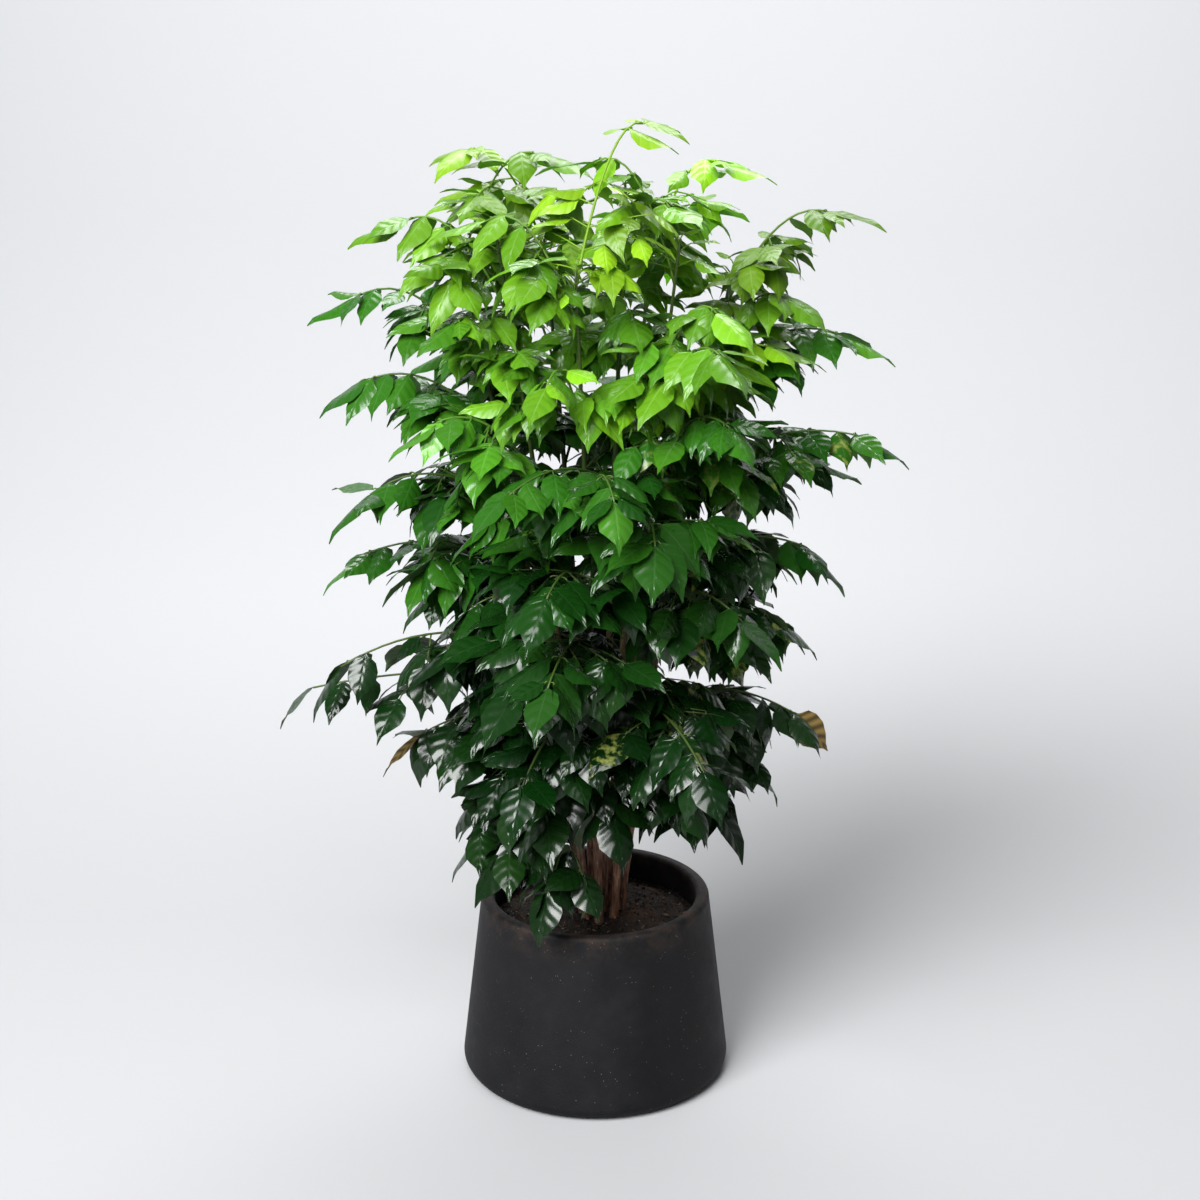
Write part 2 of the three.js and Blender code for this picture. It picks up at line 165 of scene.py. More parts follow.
# %% Lights
LIGHTS = [
    # name, place, what it points at, width and height in metres, watts
    ("overhead", (-0.2, -1.2, 2.3), (0, -0.5, 0), (1.0, 0.8), 20),
    ("behind", (0.1, 1.3, 2.5), (0, 0, 0.8), (2.0, 1.0), 62),
    ("front left", (-2.0, -3.1, 3.2), (0, 0, 0.5), (2.7, 2.7), 395),
    ("front right", (1.9, -1.9, 1.9), (0, 0, 0.5), (0.8, 0.8), 3),
    ("backdrop", (0.15, 1.6, 3.4), (0.15, 4.4, 2.4), (5.5, 1.2), 330),
]
for name, place, target, (width, height), watts in LIGHTS:
    lamp = bpy.data.lights.new(name, "AREA")
    lamp.shape = "RECTANGLE"
    lamp.size, lamp.size_y = width, height
    lamp.energy = watts
    light = bpy.data.objects.new(name, lamp)
    light.location = place
    light.rotation_euler = (Vector(target) - Vector(place)).to_track_quat("-Z", "Y").to_euler()
    scene.collection.objects.link(light)

world = bpy.data.worlds.new("pale room")
world.use_nodes = True
air = world.node_tree.nodes["Background"].inputs
air["Color"].default_value = linear("#f3f5f6")
air["Strength"].default_value = 0.17
scene.world = world

# %% [markdown]
# ## How the plant grows
#
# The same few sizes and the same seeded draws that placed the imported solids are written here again,
# in millimetres, so every stem and every stalk comes out where its solid is.

# %% Driving sizes
def table(names, *rows):
    """A dictionary for each row of values, from the names of their columns."""
    return [dict(zip(names.split(), row)) for row in rows]


POT = {"foot": 160, "rim": 136, "height": 222, "wall": 16, "floor": 18, "edge": 17, "lip": 6}
DRAIN = {"count": 3, "radius": 7, "ring": 74}
SOIL = {"top": 186, "crown": 9}
STEM = {"foot": 5.3, "tip": 2.2, "depth": 60, "steps": 69}
CROWN = {"low": 262, "high": 1104, "radius": 290, "fullness": 3.6, "inner": 0.4, "outer": 1.02}
FROND = {"count": 83, "width": 3.2, "end": 2.2, "clear": 12, "apart": 40, "steps": 24, "out": 75}
ARCH = {"low": 24, "high": 84, "share": 0.5, "flatter": 0.6}
# How far above its tip a frond leaves its stem, low and high in the crown, and how far from its end.
LEAVES_AT = {"low": 95, "high": -120, "end": 14}
LEAFLET = {"length": 64, "width": 42}
DROOP = {"low": 54, "high": 9, "spread": 22}
JOINT = 5  # how far a frond keeps from where its stem turns green
TOUCH = 0.45  # the gap between solids that touch
FACET = 0.95  # the share of a packed stem's radius that its flat sides leave
PAIRS = table("at angle rib size", (0.54, 60, 40, 1), (0.86, 64, 0, 0.9))
PAIR_FOOT = 5  # how much of the stalk a side stalk's foot takes up
STEMS = table(
    # the way it leans in degrees, how far its top reaches, that top, and where its bark ends
    "turn reach top green",
    (12, 158, 962, 572), (60, 132, 1012, 604), (116, 138, 1000, 590), (168, 156, 972, 560),
    (214, 128, 1020, 606), (262, 140, 978, 566), (312, 134, 1006, 584), (330, 38, 1054, 640),
)
CLUMP = {"radius": 16, "x": 8, "y": -4, "tight": 60}
EVEN = {"height": 0.754878, "turn": 0.56984, "above": 26, "below": 8, "stray": 20}
LEADERS = [
    (96, -20, 1112), (-178, -30, 1076), (194, 20, 1056), (-262, -20, 1002), (318, -10, 1006),
    (254, -60, 914), (-324, -10, 908), (334, 0, 862), (-312, 20, 808), (352, -30, 748),
    (-304, -40, 680), (310, 60, 700), (-316, 0, 598), (290, -20, 612), (-372, -10, 434),
    (-332, -70, 478), (244, -40, 530), (278, 0, 396), (-246, 10, 368), (226, -20, 342),
    (-172, -70, 268), (176, -50, 292), (-66, -186, 238), (-132, -128, 262), (30, -308, 730),
    (-60, -296, 520), (110, 298, 780), (-90, 300, 610), (40, 290, 440), (-150, 262, 900),
    (130, -280, 420), (150, -262, 880), (-62, -70, 1070), (-2, -40, 1072),
]
SEEDS = {"tips": 5, "fronds": 40, "soil": 3, "stems": 200, "tufts": 300, "more": 4000, "looks": 8000}
UP = Vector((0, 0, 1))


# %% Draws, turns and stems
def mix(a, b, t):
    return a + (b - a) * t


def heading(turn):
    return Vector((cos(radians(turn)), sin(radians(turn)), 0))


PRIME = 2147483647


def draws(seed):
    """A function that returns the next of a repeatable row of draws between 0 and 1."""
    state = (seed * 69621 + 12345) % PRIME

    def draw():
        nonlocal state
        state = (state * 48271) % PRIME
        return state / PRIME

    draw()
    draw()
    return draw


STEM_FOOT = SOIL["top"] - STEM["depth"]


def stem_share(stem, z):
    return (z - STEM_FOOT) / (stem["top"] - STEM_FOOT)


def stem_radius(stem, z):
    return mix(STEM["foot"], STEM["tip"], stem_share(stem, z))


def stem_at(stem, z):
    """The middle of a stem at a height: out of the clump, leaning more the higher it gets."""
    t = stem_share(stem, z)
    share = 0.6 * t + 0.4 * t * t
    foot = heading(stem["turn"]) * (CLUMP["radius"] if stem["reach"] > CLUMP["tight"] else 0)
    top = heading(stem["turn"]) * stem["reach"]
    return Vector((mix(CLUMP["x"] + foot.x, top.x, share), mix(CLUMP["y"] + foot.y, top.y, share), z))


# %% Arched stalks
class Arch:
    """A stalk's curve through a start, a bend and an end, measured along its length."""

    PARTS = 200

    def __init__(self, start, bend, end):
        self.points = (start, bend, end)
        places = [self.place(i / self.PARTS) for i in range(self.PARTS + 1)]
        steps = [(b - a).length for a, b in zip(places, places[1:])]
        self.lengths = [0, *itertools.accumulate(steps)]
        self.length = self.lengths[-1]

    def place(self, t):
        a, b, c = self.points
        return a * ((1 - t) * (1 - t)) + b * (2 * t * (1 - t)) + c * (t * t)

    def share(self, s):
        """The curve's own measure t at a share s of its length."""
        wanted = s * self.length
        i = min(max(bisect.bisect_right(self.lengths, wanted) - 1, 0), self.PARTS - 1)
        step = self.lengths[i + 1] - self.lengths[i]
        return (i + (wanted - self.lengths[i]) / step) / self.PARTS

    def at(self, s):
        return self.place(self.share(s))

    def along(self, s):
        a, b, c = self.points
        t = self.share(s)
        return ((b - a) * (1 - t) + (c - b) * t).normalized()


# %% Where the fronds stand
def crown_height(z):
    return (z - CROWN["low"]) / (CROWN["high"] - CROWN["low"])


def crown_radius(z):
    bulge = 1 - abs(2 * crown_height(z) - 1) ** CROWN["fullness"]
    return CROWN["radius"] * sqrt(max(0.04, bulge))


def tips():
    """Every point where a frond may end: the leaders, then tips spread evenly over the crown."""
    for place in LEADERS:
        yield Vector(place)
    draw = draws(SEEDS["tips"])
    lowest, highest = CROWN["low"] + EVEN["above"], CROWN["high"] - EVEN["below"]
    for i in itertools.count():
        z = mix(lowest, highest, (i * EVEN["height"]) % 1)
        radius = crown_radius(z) * mix(CROWN["inner"], CROWN["outer"], draw() ** 0.5)
        out = heading(i * EVEN["turn"] * 360 + EVEN["stray"] * draw()) * radius
        yield Vector((out.x, out.y, z))


def samples(place, steps):
    """Points at equal steps along a line, as the rows of an array."""
    return np.array([place(i / steps)[:] for i in range(steps + 1)])


def reach_for(stem, tip, rise):
    """The frond that leaves a stem for a tip, on an arch that ends a leaflet short of it."""
    h = crown_height(tip.z)
    droop = radians(mix(DROOP["low"], DROOP["high"], h))
    wanted = min(tip.z + mix(LEAVES_AT["low"], LEAVES_AT["high"], h), stem["top"] - LEAVES_AT["end"])
    z = stem["green"] + JOINT if abs(wanted - stem["green"]) < JOINT else wanted
    centre = stem_at(stem, z)
    out = Vector((tip.x - centre.x, tip.y - centre.y, 0)).normalized()
    buried = z > stem["green"]
    start = centre + out * (0 if buried else stem_radius(stem, z) * FACET + TOUCH)
    end = tip - out * (LEAFLET["length"] * cos(droop))
    end.z += LEAFLET["length"] * sin(droop)
    bend = start.lerp(end, ARCH["share"])
    bend.z = max(start.z, end.z) + rise
    curve = Arch(start, bend, end)
    outward = hypot(end.x - start.x, end.y - start.y)
    return {"stem": stem, "tip": tip, "h": h, "buried": buried, "curve": curve,
            "points": samples(curve.place, FROND["steps"]), "outward": outward}


def near(some, others, distance):
    gaps = some[:, None] - others[None]
    return bool(((gaps * gaps).sum(axis=2) < distance * distance).any())


def grow_fronds():
    """Fronds whose stalks stay clear of every stem and of the stalks before them."""
    stem_points = [
        samples(lambda t, stem=stem: stem_at(stem, mix(STEM_FOOT, stem["top"], t)), STEM["steps"])
        for stem in STEMS
    ]

    def is_clear(frond):
        if frond["outward"] <= FROND["out"]:
            return False
        others = [points for stem, points in zip(STEMS, stem_points) if stem is not frond["stem"]]
        others += [f["points"] for f in fronds]
        return not any(near(points, frond["points"], FROND["clear"]) for points in others)

    fronds = []
    for tip in tips():
        if len(fronds) == FROND["count"]:
            break
        number = len(fronds) + 1
        leader = number <= len(LEADERS)
        if not leader and any((f["tip"] - tip).length < FROND["apart"] for f in fronds):
            continue
        draw = draws(number + SEEDS["fronds"])
        height = 1 - ARCH["flatter"] * crown_height(tip.z)
        rises = [mix(ARCH["low"], ARCH["high"], draw()) * height for _ in range(3)]
        nearest = sorted(STEMS, key=lambda stem: reach_for(stem, tip, rises[0])["curve"].length)
        choices = (
            reach_for(stem, tip, rise)
            for stem in nearest[: len(STEMS) if leader else 3]
            for rise in rises
        )
        frond = next((choice for choice in choices if is_clear(choice)), None)
        if frond:
            fronds.append(frond | {"number": number, "draw": draw})
    return fronds


fronds = grow_fronds()
print("fronds:", len(fronds), "on green shoots:", sum(f["buried"] for f in fronds))

# %% [markdown]
# ## The fibre-clay pot
#
# The real pot is cast from clay filled with stone dust and glass fibre, pressed in a mould and
# painted matt black. It is round all over, so one half-outline is drawn, with the curves of the foot
# and the lip, and spun about the pot's axis. A turned surface has no seam and no flat sides. The drain
# holes are cut with drills, as they are on the real one.

# %% Spinning an outline
def pot_wall(z):
    return mix(POT["foot"], POT["rim"], (z - POT["edge"]) / (POT["height"] - POT["lip"] - POT["edge"]))


def arc(x, z, radius, first, last, steps):
    """Points of an arc in the outline's plane, in millimetres and degrees."""
    turns = [radians(mix(first, last, i / steps)) for i in range(steps + 1)]
    return [(x + radius * cos(a), z + radius * sin(a)) for a in turns]


def between(a, b, steps):
    """Points on the straight line from a to b, without its two ends."""
    return [(mix(a[0], b[0], i / steps), mix(a[1], b[1], i / steps)) for i in range(1, steps)]


def spun(outline, steps):
    """A closed solid of revolution from an outline that starts and ends on the axis."""
    bm = bmesh.new()
    verts = [bm.verts.new((x * MM, 0, z * MM)) for x, z in outline]
    edges = [bm.edges.new(pair) for pair in zip(verts, verts[1:])]
    bmesh.ops.spin(
        bm, geom=verts + edges, cent=(0, 0, 0), axis=(0, 0, 1), angle=2 * pi,
        steps=steps, use_merge=True,
    )
    bmesh.ops.remove_doubles(bm, verts=bm.verts, dist=1e-6)
    bmesh.ops.recalc_face_normals(bm, faces=bm.faces)
    return bm


# %% Fibre-clay finish
# Matt and dry to the eye: a near-black paint skin with pinholes, pale grains of filler that the sanding
# laid bare, and a brown tinge where hands have rubbed the paint thin, around the lip.
# A MapRange takes a value, its low and high ends, and the two ends that they are turned into.
WORN = 34  # how far down from the lip the paint is rubbed, in mm
clay = finish("matt black fibre clay")
spot = add(clay, "TexCoord")["Object"]
cloud = add(
    clay, "TexNoise", {"Vector": spot, "Scale": 1 / (45 * MM), "Detail": 4, "Roughness": 0.6}
)[0]
skin = add(clay, "ValToRGB", [cloud], stops=[(0.3, "#0a0a0c"), (0.5, "#0f0f12"), (0.72, "#17171a")])[0]
height = add(clay, "SeparateXYZ", [spot])["Z"]
near_lip = add(clay, "MapRange", [height, (POT["height"] - WORN) * MM, POT["height"] * MM, 0, 0.42])[0]
worn = add(clay, "TexNoise", {"Vector": spot, "Scale": 1 / (20 * MM), "Detail": 5, "Roughness": 0.7})[0]
rubbed = add(clay, "MapRange", [worn, 0.42, 0.66])[0]
stained = add(clay, "Math", [near_lip, rubbed], operation="MULTIPLY")[0]
brown = add(clay, "Mix", {0: stained, 6: skin, 7: linear("#4a382c")}, data_type="RGBA")[2]
grains = add(clay, "TexVoronoi", {"Vector": spot, "Scale": 1 / (5 * MM)})["Distance"]
grain = add(clay, "MapRange", [grains, 0.05, 0.10, 0.8, 0])[0]
sparse = add(clay, "TexNoise", {"Vector": spot, "Scale": 1 / (16 * MM), "Detail": 1})[0]
chosen = add(clay, "MapRange", [sparse, 0.5, 0.6])[0]
shown = add(clay, "Math", [grain, chosen], operation="MULTIPLY")[0]
paint = add(clay, "Mix", {0: shown, 6: brown, 7: linear("#8d8b86")}, data_type="RGBA")[2]
pinholes = add(clay, "TexVoronoi", {"Vector": spot, "Scale": 1 / (3.2 * MM)})["Distance"]
pits = add(clay, "MapRange", [pinholes, 0.1, 0.28])[0]
sanded = add(clay, "TexNoise", {"Vector": spot, "Scale": 1 / (1.5 * MM), "Detail": 3})[0]
relief = add(clay, "Math", [sanded, 0.5, pits], operation="MULTIPLY_ADD")[0]
clay_bump = add(clay, "Bump", {"Height": relief, "Distance": 0.35 * MM, "Strength": 0.5})[0]
clay_rough = add(clay, "MapRange", [cloud, 0.3, 0.7, 0.58, 0.74])[0]
clay_skin = add(clay, "BsdfPrincipled", {
    "Base Color": paint, "Roughness": clay_rough, "Normal": clay_bump, "IOR": 1.33,
})[0]
add(clay, "OutputMaterial", {"Surface": clay_skin})

# %% Pot
edge, lip, rim, wall = POT["edge"], POT["lip"], POT["rim"], POT["wall"]
foot_arc = arc(POT["foot"] - edge, edge, edge, -90, 0, 12)
lip_arc = arc(rim - lip, POT["height"] - lip, lip, 0, 90, 8)
inner_arc = arc(rim - wall + lip, POT["height"] - lip, lip, 90, 180, 8)
inner_foot = (pot_wall(POT["floor"]) - wall, POT["floor"])
outline = [
    (0, 0), *between((0, 0), foot_arc[0], 8), *foot_arc, *between(foot_arc[-1], lip_arc[0], 16),
    *lip_arc, *inner_arc, *between(inner_arc[-1], inner_foot, 14), inner_foot,
    *between(inner_foot, (0, POT["floor"]), 8), (0, POT["floor"]),
]
pot = into_object(spun(outline, 144), "fibre_clay_pot", clay)

drills = bmesh.new()
radius, depth = DRAIN["radius"] * MM, 4 * POT["floor"] * MM
for i in range(DRAIN["count"]):
    middle = Matrix.Translation(heading(i * 360 / DRAIN["count"] + 90) * DRAIN["ring"] * MM)
    bmesh.ops.create_cone(
        drills, cap_ends=True, segments=24, radius1=radius, radius2=radius, depth=depth, matrix=middle
    )
drill = into_object(drills, "drills", clay)
cut = pot.modifiers.new("drain holes", "BOOLEAN")
cut.operation, cut.solver, cut.object = "DIFFERENCE", "EXACT", drill
drained = bpy.data.meshes.new_from_object(pot.evaluated_get(bpy.context.evaluated_depsgraph_get()))
pot.modifiers.clear()
pot.data = drained
bpy.data.objects.remove(drill)
stands_for(pot, "pot")
print("pot:", len(pot.data.polygons), "faces,", DRAIN["count"], "drain holes")

# %% [markdown]
# ## The potting mix
#
# Potting mix is peat and composted bark with grit in it. A disc with a fine net of rings is spun. Its
# top is raised into a mound at the stems, with a low heap and a hollow, and layers of noise push the
# clods up out of it. Crumbs, bark chips, root fibres and grit are then scattered over it and joined to
# the same mesh, so light catches their edges as it does on loose soil.

# %% Potting-mix finish
# Damp peat is almost black and swallows light. The tint stored on each scrap tells peat from brown
# bark and from grey grit. The tint of the mix itself also carries a painted shade in the hollow in
# front of the stems.
peat = finish("damp peat potting mix")
spot = add(peat, "TexCoord")["Object"]
tint = add(peat, "Attribute", attribute_name="tint")["Fac"]
scrap = add(peat, "ValToRGB", [tint], stops=[
    (0, "#191411"), (0.3, "#2a211b"), (0.55, "#4d392a"),
    (0.8, "#6a5442"), (0.9, "#6f6e6b"), (1, "#9b9a96"),
])[0]
clods = add(peat, "TexNoise", {"Vector": spot, "Scale": 1 / (9 * MM), "Detail": 6})[0]
shade = add(peat, "MapRange", [clods, 0.3, 0.7, 0.55, 1.25])[0]
earth = add(peat, "Mix", {0: 1, 6: scrap, 7: shade}, data_type="RGBA", blend_type="MULTIPLY")[2]
crumbs = add(peat, "TexVoronoi", {"Vector": spot, "Scale": 1 / (1.8 * MM)})["Distance"]
soil_bump = add(peat, "Bump", {"Height": crumbs, "Distance": 1.2 * MM, "Strength": 0.9})[0]
damp = add(peat, "BsdfPrincipled", {
    "Base Color": earth, "Roughness": 0.85, "Normal": soil_bump, "IOR": 1.4,
})[0]
add(peat, "OutputMaterial", {"Surface": damp})

# %% Potting mix
SCRAPS = [
    # how many, length in mm, width and thickness as shares of it, and the range of their tint
    (1100, (1.6, 4.6), 0.8, 0.7, (0.0, 0.38)),
    (150, (5, 13), 0.42, 0.22, (0.38, 0.72)),
    (320, (9, 26), 0.05, 0.05, (0.42, 0.8)),
    (150, (1.4, 3.4), 0.9, 0.8, (0.86, 1.0)),
]
LIE = table(
    # root fibres pushed up beside the stems, and a hollow in front of them whose darker tint is painted
    # shade
    "x y spread rise tint", (44, -6, 34, 7, 0.34), (10, -58, 30, -5, -0.2)
)
CLODS = [(3.4, 21, 3), (2.2, 7, 9), (1.1, 3, 5)]  # height and width in mm, and a place in the noise
SOIL_GAP = 1.2  # between the mix and the pot's wall


def lie_of(what, x, y):
    """How far the heap and the hollow change the mix's height or tint at a place. The hollow's darker
    tint is painted shade.
    """
    return sum(
        place[what] * exp(-((x - place["x"]) ** 2 + (y - place["y"]) ** 2) / place["spread"] ** 2)
        for place in LIE
    )


def soil_height(x, y):
    """The top of the mix at a place, in millimetres: mounded at the stems, with clods and hollows."""
    out = hypot(x, y) / (pot_wall(SOIL["top"]) - POT["wall"])
    mound = SOIL["top"] + SOIL["crown"] * (1 - out * out) * 0.8 + lie_of("rise", x, y)
    clods = sum(high * noise.noise(Vector((x, y, place)) / wide) for high, wide, place in CLODS)
    return mound + clods


def soil_radius(z):
    return pot_wall(z) - POT["wall"] - SOIL_GAP


bottom = POT["floor"] + TOUCH
brim = (soil_radius(SOIL["top"]), SOIL["top"] - 1)
outline = [
    (0, bottom), (soil_radius(bottom), bottom), *between((soil_radius(bottom), bottom), brim, 6), brim,
    *between(brim, (0, brim[1]), 44), (0, brim[1]),
]
bm = spun(outline, 120)
for vert in bm.verts:
    if vert.co.z > (SOIL["top"] - 2) * MM and vert.co.xy.length < (brim[0] - 0.5) * MM:
        vert.co.z = soil_height(vert.co.x / MM, vert.co.y / MM) * MM

tints = bm.verts.layers.float.new("tint")
draw = draws(SEEDS["soil"])
for vert in bm.verts:
    # The hollow in front of the stems lowers the tint here: painted shade.
    vert[tints] = 0.2 + lie_of("tint", *vert.co.xy / MM) + 0.18 * noise.noise(vert.co / (14 * MM))
for count, (short, long), wide, thick, (darkest, palest) in SCRAPS:
    for _ in range(count):
        place = heading(360 * draw()) * (soil_radius(SOIL["top"]) - 4) * draw() ** 0.5
        length = mix(short, long, draw() ** 2)
        tilt = Matrix.Rotation(radians(mix(-22, 22, draw())), 4, "Y")
        turn = Matrix.Rotation(2 * pi * draw(), 4, "Z")
        width = length * wide * mix(0.7, 1.3, draw())
        size = Matrix.Diagonal((length / 2, width / 2, length * thick / 2, 1))
        place.z = soil_height(place.x, place.y) + length * thick * 0.2
        matrix = Matrix.Scale(MM, 4) @ Matrix.Translation(place) @ turn @ tilt @ size
        made = bmesh.ops.create_icosphere(bm, subdivisions=1, radius=1, matrix=matrix)
        shade = mix(darkest, palest, draw())
        for vert in made["verts"]:
            vert[tints] = shade
soil = into_object(bm, "potting_mix", peat)
stands_for(soil, "soil")
print("potting mix:", len(soil.data.polygons), "faces")

# %% [markdown]
# ## Woody stems
#
# Several saplings are planted together, so a tight clump of thin stems leaves the soil and fans out.
# Their bark is red-brown with pale corky dots, called lenticels, and a swollen ring wherever an old
# leaf fell. Each stem starts as a straight bar with many rings, which are then moved onto the stem's
# leaning line. The rings stay level, and are easy to swell one by one.

# %% A straight bar to bend
UNDERSIDE, STALK = 1, 2  # what a face is, stored on it for the leaf's finish: 0 is the upper side


def template(bm, name):
    """A mesh to copy, with room on its corners for how each copy has grown."""
    mesh = bpy.data.meshes.new(name)
    bm.to_mesh(mesh)
    bm.free()
    mesh.attributes.new("growth", "FLOAT_COLOR", "POINT")
    return mesh


def join(bm, mesh, look=None):
    """Moves a copied mesh into a piece. A look is its tone, its age (on fronds partly painted shade),
    its blotches and its dryness.
    """
    if look:
        mesh.attributes["growth"].data.foreach_set("color", look * len(mesh.vertices))
    bm.from_mesh(mesh)
    bpy.data.meshes.remove(mesh)


def bar_template(sides, rings):
    """A closed bar of radius 1 and length 1, from z 0 to z 1, with rings to bend it at."""
    bm = bmesh.new()
    bmesh.ops.create_cone(
        bm, cap_ends=True, segments=sides, radius1=1, radius2=1, depth=1,
        matrix=Matrix.Translation((0, 0, 0.5)),
    )
    lengthwise = [e for e in bm.edges if abs(e.verts[0].co.z - e.verts[1].co.z) > 0.5]
    bmesh.ops.subdivide_edges(bm, edges=lengthwise, cuts=rings - 1)
    bm.loops.layers.uv.new("blade")  # stays at one corner of the leaf's pattern, clear of its veins
    surface = bm.faces.layers.float.new("surface")
    for face in bm.faces:
        face[surface] = STALK
    return template(bm, "bar")


# %% Bark finish
# Young bark is dull and slightly waxy. Its colour goes from red-brown at the soil to green-brown where
# it meets this year's growth, with streaks along the stem and pale lenticels about 2 mm long.
bark = finish("thin red-brown bark")
spot = add(bark, "TexCoord")["Object"]
stretched = add(bark, "Mapping", {"Vector": spot, "Scale": (1, 1, 0.12)})[0]
streaks = add(bark, "TexNoise", {"Vector": stretched, "Scale": 1 / (2.6 * MM), "Detail": 5})[0]
skin = add(bark, "ValToRGB", [streaks], stops=[
    (0.28, "#4c3127"), (0.45, "#755240"), (0.6, "#977059"), (0.75, "#b8977f"),
])[0]
height = add(bark, "SeparateXYZ", [spot])["Z"]
greening = add(bark, "MapRange", [height, 0.36, 0.62, 0, 0.75])[0]
fresh = add(bark, "Mix", {0: greening, 6: skin, 7: linear("#5d6a32")}, data_type="RGBA")[2]
squashed = add(bark, "Mapping", {"Vector": spot, "Scale": (1, 1, 0.55)})[0]
dots = add(bark, "TexVoronoi", {"Vector": squashed, "Scale": 1 / (5 * MM)})["Distance"]
dot = add(bark, "MapRange", [dots, 0.1, 0.2, 0.75, 0])[0]
skin = add(bark, "Mix", {0: dot, 6: fresh, 7: linear("#b79c84")}, data_type="RGBA")[2]
relief = add(bark, "Math", [dot, streaks], operation="ADD")[0]
bark_bump = add(bark, "Bump", {"Height": relief, "Distance": 0.5 * MM, "Strength": 0.8})[0]
dull_bark = add(bark, "BsdfPrincipled", {
    "Base Color": skin, "Roughness": 0.62, "Normal": bark_bump, "IOR": 1.45,
})[0]
add(bark, "OutputMaterial", {"Surface": dull_bark})


# %% Stems
def bend_bar(bar, place, axes_at, radius):
    """A copy of the bar along a line: each ring goes to its share's place, turned and sized there."""
    bent = bar.copy()
    for vert in bent.vertices:
        s = vert.co.z
        right, up = axes_at(s)
        vert.co = (place(s) + (right * vert.co.x + up * vert.co.y) * radius(s)) * MM
    return bent


SCARS = {"count": 9, "lowest": 78, "apart": 46, "stray": 22, "height": 3.2, "swell": 0.7}
FLARE = {"swell": 0.8, "height": 20}  # where a stem spreads into its roots


def level(_):
    """A stem's rings stay level, although its line leans."""
    return Vector((1, 0, 0)), Vector((0, 1, 0))


def barked(stem, scars):
    """A stem's radius for each height: its taper, swollen at its leaf scars and at its foot."""

    def radius(_, z):
        swelling = sum(exp(-(((z - scar) / SCARS["height"]) ** 2)) for scar in scars)
        root_flare = FLARE["swell"] * exp(-max(0, z - SOIL["top"]) / FLARE["height"])
        wave = 0.35 * noise.noise(Vector((stem["turn"], 0, z / 17)))
        return stem_radius(stem, z) * 0.97 + SCARS["swell"] * swelling + root_flare + wave

    return radius


def bend_stem(bar, stem, low, high, radius):
    """A copy of the bar along a stem, from one height to another."""

    def height(s):
        return mix(low, high, s)

    return bend_bar(bar, lambda s: stem_at(stem, height(s)), level, lambda s: radius(s, height(s)))


stem_bar = bar_template(16, 84)
for number, stem in enumerate(STEMS, 1):
    draw = draws(number + SEEDS["stems"])
    first = STEM_FOOT + SCARS["lowest"]
    scars = [first + SCARS["apart"] * i + SCARS["stray"] * draw() for i in range(SCARS["count"])]
    bm = bmesh.new()
    join(bm, bend_stem(stem_bar, stem, STEM_FOOT, stem["green"] - TOUCH, barked(stem, scars)))
    stands_for(into_object(bm, f"barked_stem_{number}", bark), f"stem_{number}")
print("stems:", len(STEMS))

# %% [markdown]
# ## The leaflets
#
# A leaflet is an oval blade with a drawn-out drip tip. It is folded a little along its midrib, its
# margin turns down, and the whole blade bends over towards the tip. One small grid is shaped into a
# few such blades, each with its own bend and twist, and every leaflet is a copy of one of them. A
# second skin just under the first makes each a closed body, thick at the midrib and sharp at the edge.
# A blade has few faces, because the plant carries nearly three thousand.

# %% Blade forms
BLADE_ROWS = [0, 0.06, 0.15, 0.32, 0.52, 0.71, 0.85, 1]  # shares of the length
HALF_WIDTH = [0.035, 0.16, 0.39, 0.5, 0.47, 0.29, 0.1, 0.01]  # shares of the width
CURLS = (0.06, 0.16, 0.26, 0.38)  # how far the tip hangs below the foot's line, as a share of the length
FOLDS = [
    # fold along the midrib, turned-down margin, wave of the margin, twist in degrees
    (0.16, 0.20, 0.030, 8),
    (0.30, 0.14, -0.035, -12),
    (0.05, 0.26, 0.045, 16),
]
HOOK = 0.5  # how sharply the drip tip turns down
SLENDER = 0.55  # about what a share of the width is as a share of the length
SKIN = 0.012  # thickness at the midrib, as a share of the length


def blade(curl, fold, margin, wave, twist):
    """A leaflet of length 1 along +Y and width 1, its upper side facing +Z, as a closed thin shell."""
    bm = bmesh.new()
    uv = bm.loops.layers.uv.new("blade")
    surface = bm.faces.layers.float.new("surface")
    rows = len(BLADE_ROWS) - 1
    bmesh.ops.create_grid(bm, x_segments=4, y_segments=rows, size=1)
    for vert in bm.verts:
        row = round((vert.co.y + 1) / 2 * rows)
        u, t, half = vert.co.x, BLADE_ROWS[row], HALF_WIDTH[row]
        for loop in vert.link_loops:
            loop[uv].uv = ((u + 1) / 2, t)
        out = abs(u) * half
        x = u * half
        z = (fold * out - 4 * margin * out * out + wave * u * sin(9 * t)) * SLENDER
        turn = radians(twist) * t * t
        vert.co = (
            x * cos(turn) - z * sin(turn),
            t,
            z * cos(turn) + x * SLENDER * sin(turn) - curl * t * t
            - HOOK * max(0, t - 0.7) ** 2,
        )
    inner = [v for v in bm.verts if not v.is_boundary]
    under = bmesh.ops.duplicate(bm, geom=bm.faces[:])
    under_faces = [g for g in under["geom"] if isinstance(g, bmesh.types.BMFace)]
    bmesh.ops.reverse_faces(bm, faces=under_faces)
    for vert in inner:
        under["vert_map"][vert].co.z -= SKIN
    for face in under_faces:
        face[surface] = UNDERSIDE
    bmesh.ops.remove_doubles(bm, verts=bm.verts, dist=1e-5)
    for edge in bm.edges:
        one, other = edge.link_faces
        edge.smooth = one[surface] == other[surface]
    for face in bm.faces:
        face.smooth = True
    return template(bm, "blade")


BLADES = [[blade(curl, *form) for form in FOLDS] for curl in CURLS]
print("blade:", len(BLADES[0][0].polygons), "faces,", len(CURLS) * len(FOLDS), "forms")
